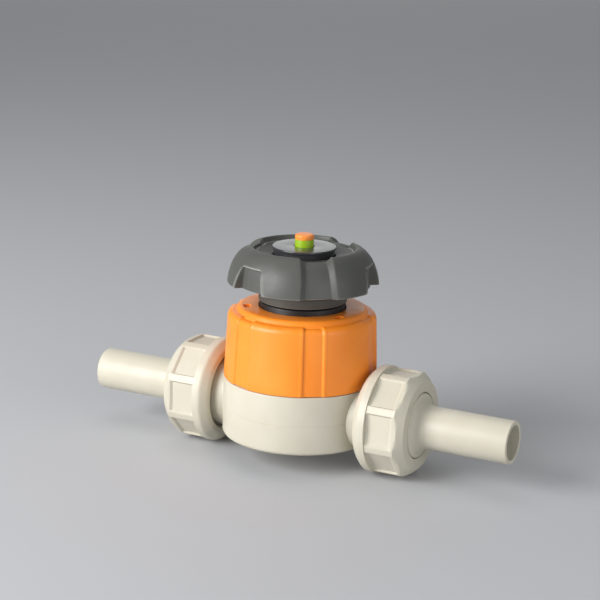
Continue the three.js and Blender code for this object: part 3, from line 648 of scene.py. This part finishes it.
wheelSizes = {
    "topRadius": 25.2,
    "footRadius": 35.6,
    "footHeight": 73.4,
    "dome": (10.0, 82.0),         # stretch of an ellipse that the flank follows, degrees from its top
    "domeRows": 26,
    "skirtRadius": 20.8,
    "socket": (15.6, 1.0),        # radius and depth of the recess over the bonnet's neck
    "lip": 1.1,
    "lipHeights": (4.2, 4.8, 6.5, 7.2),   # the lip's foot, lower edge, upper edge and top
    "wall": 5.8,
    "hollow": 9.0,                # height of the hollow under the dome
    "rimWidth": 0.8,
    "dishDepth": 3.7,
    "discWell": 14.6,
    "wellDepth": 7.6,
    "bore": 9.8,
    "fluteAngle": -51.2,
    "fluteDepth": 2.2,
    "fluteHalf": (5.2, 6.6),      # half width of the floor at the rim and at the foot
    "fluteWall": 2.4,
    "fluteFade": (22.0, 2.2),     # a flute starts at this radius and is full this much further out
    "windowHalf": (5.6, 9.0),     # half width of the arch at its top and at the foot
    "windowWall": 0.8,
    "windowFloor": 31.5,
    "windowDrop": 6.6,            # top of the arch below the rim
    "edge": 0.3,                  # rounding of every edge of a flute or window
    "leastReach": (14.0, 31.0),   # the widths of flutes and windows stop narrowing at these radii
    "columns": (0, 6, 10, 14, 18, 28, 32, 36, 40, 48),   # in half a sector, counted to each turn of the walls
    "stepsPerSector": 96,         # twice the last of the columns
}


def makeWheel():
    s = wheelSizes
    under = low("handwheel")
    rim = high("handwheel")
    foot = s["footHeight"]
    inner = s["footRadius"] - s["wall"]
    socketRadius, socketDepth = s["socket"]
    ceiling = under + socketDepth
    hollow = foot + s["hollow"]
    lipFoot, lipLower, lipUpper, lipTop = (under + rise for rise in s["lipHeights"])
    windowTop = rim - s["windowDrop"]
    first, last = (math.radians(angle) for angle in s["dome"])
    reach = (s["footRadius"] - s["topRadius"]) / (math.sin(last) - math.sin(first))
    fall = (rim - foot) / (math.cos(first) - math.cos(last))

    def flank(share):
        # radius and height on the dome, from its rim at 0 to its foot at 1
        angle = first + (last - first) * share
        return (s["topRadius"] + reach * (math.sin(angle) - math.sin(first)),
                rim - fall * (math.cos(first) - math.cos(angle)))

    def shareAt(height):
        return (math.acos(math.cos(first) - (rim - height) / fall) - first) / (last - first)

    shares = [i / s["domeRows"] for i in range(1, s["domeRows"])]
    # more rows where the top edge of the arches runs
    shares += [shareAt(windowTop + lift) for lift in (0.2, 0.0, -0.2, -0.4, -0.6)]
    wheel = turned("handwheel", [
        (s["bore"], ceiling), (socketRadius, ceiling), (socketRadius, under), (s["skirtRadius"], under, 0.4),
        (s["skirtRadius"], lipFoot, 0.2), (s["skirtRadius"] + s["lip"], lipLower, 0.25),
        (s["skirtRadius"] + s["lip"], lipUpper, 0.3), (s["skirtRadius"] + 0.2, lipTop, 0.4),
        (s["skirtRadius"] + 0.7, hollow, 1.5), (inner - 5, hollow - 0.5, 2), (inner - 1.4, hollow - 3.5, 2),
        (inner, foot, 0.5),
        (s["footRadius"], foot, 0.6), *[flank(share) for share in sorted(shares, reverse=True)],
        (s["topRadius"], rim, 0.25), (s["topRadius"] - s["rimWidth"], rim, 0.25),
        (s["topRadius"] - 1.6, rim - 0.5 * s["dishDepth"], 1.0),
        (s["topRadius"] - 2.9, rim - 0.75 * s["dishDepth"], 1.0), (s["discWell"], rim - s["dishDepth"], 0.4),
        (s["discWell"], rim - s["wellDepth"]), (s["bore"], rim - s["wellDepth"]),
    ], 3 * s["stepsPerSector"])

    def spans(radius, height):
        # half widths of the flute and the window here, and the radii they are measured round
        down = min(max((rim - height) / (rim - foot), 0), 1)
        arch = min(max((windowTop - height) / (windowTop - foot), 0), 1)
        flute = s["fluteHalf"][0] + (s["fluteHalf"][1] - s["fluteHalf"][0]) * down
        window = s["windowHalf"][0] + (s["windowHalf"][1] - s["windowHalf"][0]) * arch
        return flute, window, max(radius, s["leastReach"][0]), max(radius, s["leastReach"][1])

    def place(angle, radius, height):
        # gathers the columns at the walls of the flutes and windows, and presses both in
        third = math.floor(angle / 120 + 1e-6)
        column = (angle - third * 120) / 120 * s["stepsPerSector"]
        mirrored = column > s["stepsPerSector"] / 2
        if mirrored:
            column = s["stepsPerSector"] - column
        flute, window, nearReach, farReach = spans(radius, height)
        turns = [0]
        for distance, length in ((flute, nearReach), (flute + s["fluteWall"], nearReach)):
            turns += [math.degrees((distance + side * s["edge"]) / length) for side in (-1, 1)]
        for distance, length in ((window + s["windowWall"], farReach), (window, farReach)):
            turns += [60 - math.degrees((distance - side * s["edge"]) / length) for side in (-1, 1)]
        turns.append(60)
        turn = alongMarks(list(zip(s["columns"], turns)), column)
        inFlute = 1 - ramp(math.radians(turn) * nearReach - flute, s["fluteWall"], s["edge"])
        inWindow = 1 - ramp(math.radians(60 - turn) * farReach - window, s["windowWall"], s["edge"])
        inWindow *= ramp(windowTop - height + 0.2, 0.5, 0.2)
        skin = radius > 30 or (height > hollow + 0.6 and radius > 17)   # the outside only
        if skin and inFlute > 0:
            lean = math.radians(min(max(90 * (height - foot) / (rim - foot), 0), 90)) * 0.85
            if radius < s["topRadius"] - 0.5:
                lean = math.pi / 2   # straight down into the dish
            press = s["fluteDepth"] * inFlute * smooth((radius - s["fluteFade"][0]) / s["fluteFade"][1])
            radius -= press * math.cos(lean)
            height -= press * math.sin(lean)
        if skin and inWindow > 0 and radius > s["windowFloor"]:
            radius -= inWindow * (radius - s["windowFloor"])
        turn = 120 - turn if mirrored else turn
        return s["fluteAngle"] + third * 120 + turn, radius, height

    reshape(wheel, place)
    smoothed(wheel, 40)
    settle(wheel, "wheel", ["handwheel"], "wheel_grey")


coverSizes = {
    "bore": 4.8,
    "thickness": 1.2,
    "radius": 14.9,
    "collar": (6.6, 8.0, 2.4),     # inner radius, outer radius and depth
    "skirt": (12.9, 14.3),         # inner and outer radius
}


def makeCover():
    s = coverSizes
    top = high("cover_disc")
    foot = low("cover_disc")
    under = top - s["thickness"]
    collarInner, collarOuter, collarDepth = s["collar"]
    skirtInner, skirtOuter = s["skirt"]
    cover = turned("coverDisc", [
        (s["bore"], top - 0.05, 0.15), (s["bore"], under), (collarInner, under),
        (collarInner, under - collarDepth), (collarOuter, under - collarDepth), (collarOuter, under),
        (skirtInner, under), (skirtInner, foot),
        (skirtOuter, foot, 0.2), (skirtOuter, under), (s["radius"], under, 0.2), (s["radius"], top, 0.35),
    ], 160)
    smoothed(cover)
    settle(cover, "wheel", ["cover_disc"], "disc_grey")


indicatorSizes = {
    "pinRadius": 2.5,      # the cap's pin goes down through the ring
    "pinRise": 0.5,
    "seam": 0.04,
    "capRound": 0.7,
}


def makeIndicator():
    s = indicatorSizes
    radius = wide("indicator_stem")
    foot = low("indicator_stem")
    split = low("indicator_cap")
    top = high("indicator_cap")
    pin = s["pinRadius"]
    green = turned("indicatorRing", [
        (pin, foot), (radius, foot, 0.2), (radius, split - s["seam"], 0.08), (pin, split - s["seam"]),
    ], 96)
    smoothed(green)
    settle(green, "stem", ["indicator_stem"], "stem_green")
    cap = turned("indicatorCap", [
        (0, split + s["pinRise"]), (pin, split + s["pinRise"]), (pin, split), (radius, split, 0.08),
        (radius, top - 0.5, 0.4), (radius - s["capRound"], top, 0.4), (0, top),
    ], 96)
    smoothed(cap, 50)
    settle(cap, "stem", ["indicator_cap"], "cap_orange")


unionSizes = {
    "start": 38.0,
    "flangeRadius": 25.2,
    "flangeThickness": 6.9,
    "flangeSlope": 3.2,
    "octagonRadius": 25.3,
    "chamfer": 3.9,
    "cornerEase": 0.35,       # taken off the octagon's corners
    "panelDepth": 0.85,
    "panelWall": 0.6,
    "panelEnds": (0.5, 1.3),  # plain strips beside the flange and beside the chamfer
    "panelRows": 22,
    "ribHalf": 1.8,
    "bore": 17.9,
    "hole": 15.6,
    "ceiling": 56.6,
    "threadHeight": 0.75,
    "threadPitch": 4.0,
    "thread": (4.1, 2.4),     # start from the nut's own start, and turns
    "turns": {"left": 0.0, "right": -4.0},   # how far each nut stopped when it was tightened, degrees
    "panels": 8,
    "stepsPerPanel": 30,
}


def makeUnionNut(sideName, side):
    s = unionSizes
    start = s["start"]
    end = reachOf("union_nut_" + sideName)
    flange = start + s["flangeThickness"]
    blank = s["octagonRadius"]
    sector = 360 / s["panels"]
    firstRow, lastRow = flange + 0.35, end - s["chamfer"] - 1.0
    rows = [firstRow + i * (lastRow - firstRow) / s["panelRows"] for i in range(s["panelRows"] + 1)]
    nut = turned("unionNut" + sideName.capitalize(), [
        (s["bore"] + 1.4, start, 0.3), (s["flangeRadius"] - s["flangeSlope"], start, 0.8),
        (s["flangeRadius"], start + s["flangeSlope"], 0.9), (s["flangeRadius"], flange, 0.7),
        (blank, flange), *[(blank, row) for row in rows], (blank, end - s["chamfer"] - 0.5),
        *[(blank - s["chamfer"] * i / 6, end - s["chamfer"] * (1 - i / 6)) for i in range(6)],
        (blank - s["chamfer"], end, 0.25), (s["hole"], end, 0.4), (s["hole"], s["ceiling"]),
        (s["bore"], s["ceiling"]),
        (s["bore"], start + 1.6, 0.3),
    ], s["panels"] * s["stepsPerPanel"])
    flat = blank * math.cos(math.pi / s["panels"])
    halfFlat = blank * math.sin(math.pi / s["panels"])
    panelFrom, panelTo = flange + s["panelEnds"][0], end - s["chamfer"] - s["panelEnds"][1]
    wall = s["panelWall"]

    def place(angle, radius, height):
        # flattens the blank to an octagon and sinks a panel in each flat
        share = (angle / sector) % 1
        whole = round(angle / sector - share)
        across = math.tan(math.radians(sector / 2)) * acrossFlat(share)
        turn = math.degrees(math.atan(across))
        if height > flange - 0.01 and radius > s["bore"] + 2:
            lateral = abs(across) * flat
            sunk = 1 - smooth((lateral - (halfFlat - s["ribHalf"] - wall)) / wall)
            sunk *= smooth((height - panelFrom) / wall) * smooth((panelTo - height) / wall)
            skin = (flat - s["panelDepth"] * sunk) / math.cos(math.radians(turn))
            cone = s["flangeRadius"] - 0.5 - max(height - (end - s["chamfer"]), 0)
            skin = min(skin, blank - s["cornerEase"], cone)
            radius = skin if blank - radius < 0.01 or height < end - 0.3 else min(radius, skin)
        return s["turns"][sideName] + whole * sector + turn, radius, height

    def acrossFlat(share):
        # -1 to 1 across one flat, columns crowded at the two panel walls
        return alongMarks([(0, -1), (0.2, -0.84), (0.36, -0.7), (0.64, 0.7), (0.8, 0.84), (1, 1)], share)

    reshape(nut, place)
    threadRise, turns = s["thread"]
    join(nut, thread("unionThread", s["bore"], s["threadHeight"], s["threadPitch"],
                     start + threadRise, turns, inward=True))
    smoothed(alongPipe(nut, side), 30)
    settle(nut, sideName + "_nut", ["union_nut_" + sideName], "pp_beige")


endSizes = {
    "collarRadius": 16.7,
    "collarBottom": 52.3,
    "collarTop": 56.3,
    "neckRadius": 15.2,
    "pipeRadius": 10.0,
    "bore": 8.1,
    "coneLength": 6.5,
    "faceStep": 0.2,      # the end's face stands this much out of the nut's
}


def makeUnionEnd(sideName, side):
    s = endSizes
    end = reachOf("union_end_" + sideName)
    face = reachOf("union_nut_" + sideName) + s["faceStep"]
    fillet = s["neckRadius"] - 0.8 - s["pipeRadius"]
    cone = arc((s["pipeRadius"] + fillet, face + s["coneLength"]), (fillet, s["coneLength"]), 270, 180, 14)
    spigot = turned("unionEnd" + sideName.capitalize(), [
        (s["bore"], s["collarBottom"], 0.3), (s["collarRadius"], s["collarBottom"], 0.4),
        (s["collarRadius"], s["collarTop"], 0.2), (s["neckRadius"], s["collarTop"]),
        (s["neckRadius"], face - 0.1, 0.6), *cone[1:], (s["pipeRadius"], end, 0.45), (s["bore"], end, 0.3),
    ], 128)
    smoothed(alongPipe(spigot, side), 34)
    settle(spigot, sideName + "_end", ["union_end_" + sideName], "pp_beige")


diaphragmSizes = {
    "flat": 16.0,              # the clamped rim starts at this radius
    "rimThickness": 3.0,
    "under": ((5, 1.9), (9, 1.5), (13, 0.6)),           # radius, and height above the rim's underside
    "over": ((16, 0.1), (13, 0.7), (9, 1.7)),           # radius, and height above the rim's top
    "boss": (6.2, 2.4),        # its radius, and where it leaves the skin above the rim's top
    "studNeck": 2.3,
    "studHead": (4.3, 29.3, 31.6),   # radius, and heights of its underside and top
    "keep": 0.3,               # share of its height left when the valve is shut
}


def makeDiaphragm():
    s = diaphragmSizes
    foot = low("diaphragm")
    top = high("diaphragm")
    radius = wide("diaphragm")
    rim = foot + s["rimThickness"]
    boss, bossFoot = s["boss"]
    headRadius, headFoot, headTop = s["studHead"]
    skin = turned("diaphragm", [
        (0, foot + 2), *[(reach, foot + rise) for reach, rise in s["under"]], (s["flat"], foot, 1.0),
        (radius, foot, 0.6), (radius, rim, 0.6), *[(reach, rim + rise) for reach, rise in s["over"]],
        (boss, rim + bossFoot, 0.8), (boss, top, 0.6), (s["studNeck"], top), (s["studNeck"], headTop),
        (headRadius, headTop), (headRadius, headFoot), (0, headFoot),
    ], 128)
    smoothed(skin)
    settle(skin, "bonnet_unit", ["diaphragm"], "rubber_black")
    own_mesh(skin)


def paintKeptNodes():
    # the pieces that no new one replaces keep their own shape and get its finish
    for part in frame["record"]["subparts"]:
        node = frame["nodes"][part["node"]]
        node.data.materials.clear()
        node.data.materials.append(finishes[part["material_slot"]])


stageSettings = {
    "floorSize": 80,
    "floorDrop": 0.0002,
    "floorColour": "#BDBEC1",
    "skyColour": "#E6E8EA",
    "skyStrength": 0.34,
    "aim": (0, 0, 0.04),
    # name, place and side in metres, power in watts
    "softboxes": (
        ("softboxLeft", (-0.62, -0.95, 0.5), 0.8, 20.5),
        ("softboxRight", (1.0, -0.35, 0.12), 0.9, 4.6),
        ("softboxTop", (-0.2, 0.1, 1.1), 0.8, 1.5),
        ("softboxBack", (-2.3, 4.5, 1.5), 3.0, 20),
    ),
}


def setStage():
    s = stageSettings
    bpy.ops.object.select_all(action="DESELECT")
    bpy.ops.mesh.primitive_plane_add(size=s["floorSize"], location=(0, 0, cadBox[0][2] - s["floorDrop"]))
    floor = bpy.context.object
    floor.name = "studioFloor"
    finish, tree, shader, place = startFinish("palePaperFloor", {"Roughness": 0.75})
    shader.inputs["Base Color"].default_value = colour(s["floorColour"])
    floor.data.materials.append(finish)

    world = bpy.data.worlds.new("studio")
    bpy.context.scene.world = world
    world.use_nodes = True
    sky = world.node_tree.nodes["Background"]
    sky.inputs["Color"].default_value = colour(s["skyColour"])
    sky.inputs["Strength"].default_value = s["skyStrength"]
    bpy.context.scene.view_settings.view_transform = "Standard"
    for name, place, size, power in s["softboxes"]:
        lamp = bpy.data.lights.new(name, "AREA")
        lamp.size = size
        lamp.energy = power
        stand = bpy.data.objects.new(name, lamp)
        stand.location = place
        stand.rotation_euler = (Vector(s["aim"]) - Vector(place)).to_track_quat("-Z", "Y").to_euler()
        stand.visible_camera = False
        bpy.context.collection.objects.link(stand)
    print("stage ready")


cameraSettings = {
    "azimuth": 26.468,
    "elevation": 15.0,
    "distance": 0.8309,
    "aim": (0, 0, 0.06),
    "pan": -0.086,
    "tilt": 0.314,
    "roll": 1.765,
    "lens": 106.2,
}


def swing(one, other, degrees):
    # turns a pair of directions that stand square to each other, the first towards the second
    angle = math.radians(degrees)
    return one * math.cos(angle) + other * math.sin(angle), other * math.cos(angle) - one * math.sin(angle)


def setCamera():
    s = cameraSettings
    around, above = math.radians(s["azimuth"]), math.radians(s["elevation"])
    back = Vector((math.sin(around) * math.cos(above), -math.cos(around) * math.cos(above), math.sin(above)))
    ahead = -back
    right = ahead.cross(Vector((0, 0, 1))).normalized()
    up = right.cross(ahead)
    ahead, right = swing(ahead, right, s["pan"])
    ahead, up = swing(ahead, up, s["tilt"])
    right, up = swing(right, up, s["roll"])
    camera = bpy.data.objects.new("camera", bpy.data.cameras.new("camera"))
    camera.data.lens = s["lens"]
    camera.data.clip_start = 0.05
    facing = Matrix((right, up, -ahead)).transposed().to_4x4()
    camera.matrix_world = Matrix.Translation(Vector(s["aim"]) + back * s["distance"]) @ facing
    bpy.context.collection.objects.link(camera)
    bpy.context.scene.camera = camera
    print("camera ready")


setCamera()
setStage()
paintKeptNodes()
makeBody()
makeNut()
makeBonnet()
makeWheel()
makeCover()
makeIndicator()
for sideName, side in (("left", -1), ("right", 1)):
    makeUnionNut(sideName, side)
    makeUnionEnd(sideName, side)
makeDiaphragm()
